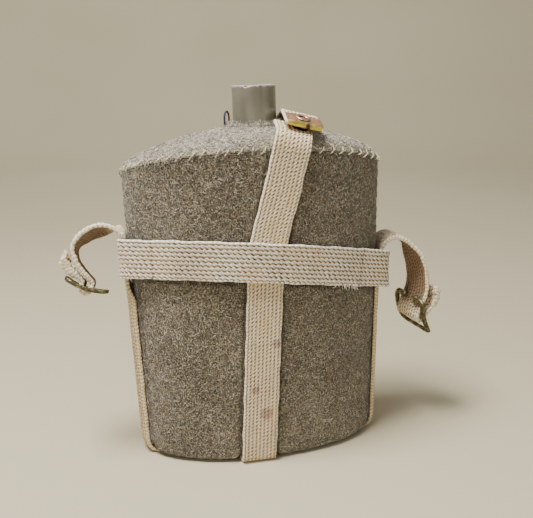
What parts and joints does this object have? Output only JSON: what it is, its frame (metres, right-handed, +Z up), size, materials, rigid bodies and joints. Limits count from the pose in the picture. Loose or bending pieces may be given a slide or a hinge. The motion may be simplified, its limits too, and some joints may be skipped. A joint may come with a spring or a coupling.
{
  "type": "felt-covered canteen",
  "caption": "Oval-section water bottle with an open neck in a stitched felt cover, held in a webbing carrier with a snap strap over the shoulder and a brass buckle on a tab at each side.",
  "frame": {"origin": "on the ground, under the middle of the bottle's body", "axes": "+Z up along the neck, +X to the right as seen from the front, -Y towards the front"},
  "size_m": [0.2419, 0.0711, 0.232],
  "materials": {
    "enamel": "satin enamel",
    "felt": "coarse wool felt",
    "seam_thread": "waxed thread",
    "webbing": "woven cotton",
    "brass": "aged",
    "wire": "dark and rusty"
  },
  "bodies": {
    "bottle_and_carrier": {"bottle_wall": "enamel", "bottle_shoulder": "enamel", "bottle_base": "enamel", "bottle_neck": "enamel", "stopper_cord_eye": "wire", "cover_wall": "felt", "cover_top": "felt", "cover_base": "felt", "cover_top_seam_thread": "seam_thread", "cover_base_seam_thread": "seam_thread", "cover_rear_seam_thread": "seam_thread", "front_rear_cradle_strap": "webbing", "side_cradle_strap": "webbing", "carrier_band_front": "webbing", "carrier_band_rear": "webbing", "front_retaining_strap": "webbing", "rear_strap_foot": "webbing", "left_tab_sewn_end": "webbing", "right_tab_sewn_end": "webbing", "snap_stud": "brass", "snap_washer": "brass"},
    "retaining_flap_body": {"retaining_flap": "webbing", "strap_tip": "brass", "snap_eyelet": "brass", "snap_socket": "brass"},
    "left_tab": {"left_buckle_tab": "webbing"},
    "left_buckle_frame": {"left_buckle": "brass"},
    "right_tab": {"right_buckle_tab": "webbing"},
    "right_buckle_frame": {"right_buckle": "brass"}
  },
  "joints": [
    {"name": "flap_hinge", "type": "hinge", "parent": "bottle_and_carrier", "child": "retaining_flap_body", "pos_m": [0.0285, 0.0142, 0.2094], "axis": [-0.969, 0, 0.247], "range_deg": [0, 150]},
    {"name": "left_tab_swing", "type": "hinge", "parent": "bottle_and_carrier", "child": "left_tab", "pos_m": [-0.082, 0, 0.1445], "axis": [0, 1, 0], "range_deg": [-8, 38]},
    {"name": "left_buckle_turn", "type": "hinge", "parent": "left_tab", "child": "left_buckle_frame", "pos_m": [-0.1067, -0.001, 0.1128], "axis": [0, -0.97, 0.243], "range_deg": [-10, 70]},
    {"name": "right_tab_swing", "type": "hinge", "parent": "bottle_and_carrier", "child": "right_tab", "pos_m": [0.082, 0, 0.1263], "axis": [0, -1, 0], "range_deg": [-15, 45]},
    {"name": "right_buckle_turn", "type": "hinge", "parent": "right_tab", "child": "right_buckle_frame", "pos_m": [0.1064, -0.004, 0.0794], "axis": [0.274, -0.957, -0.095], "range_deg": [-4, 75]}
  ]
}
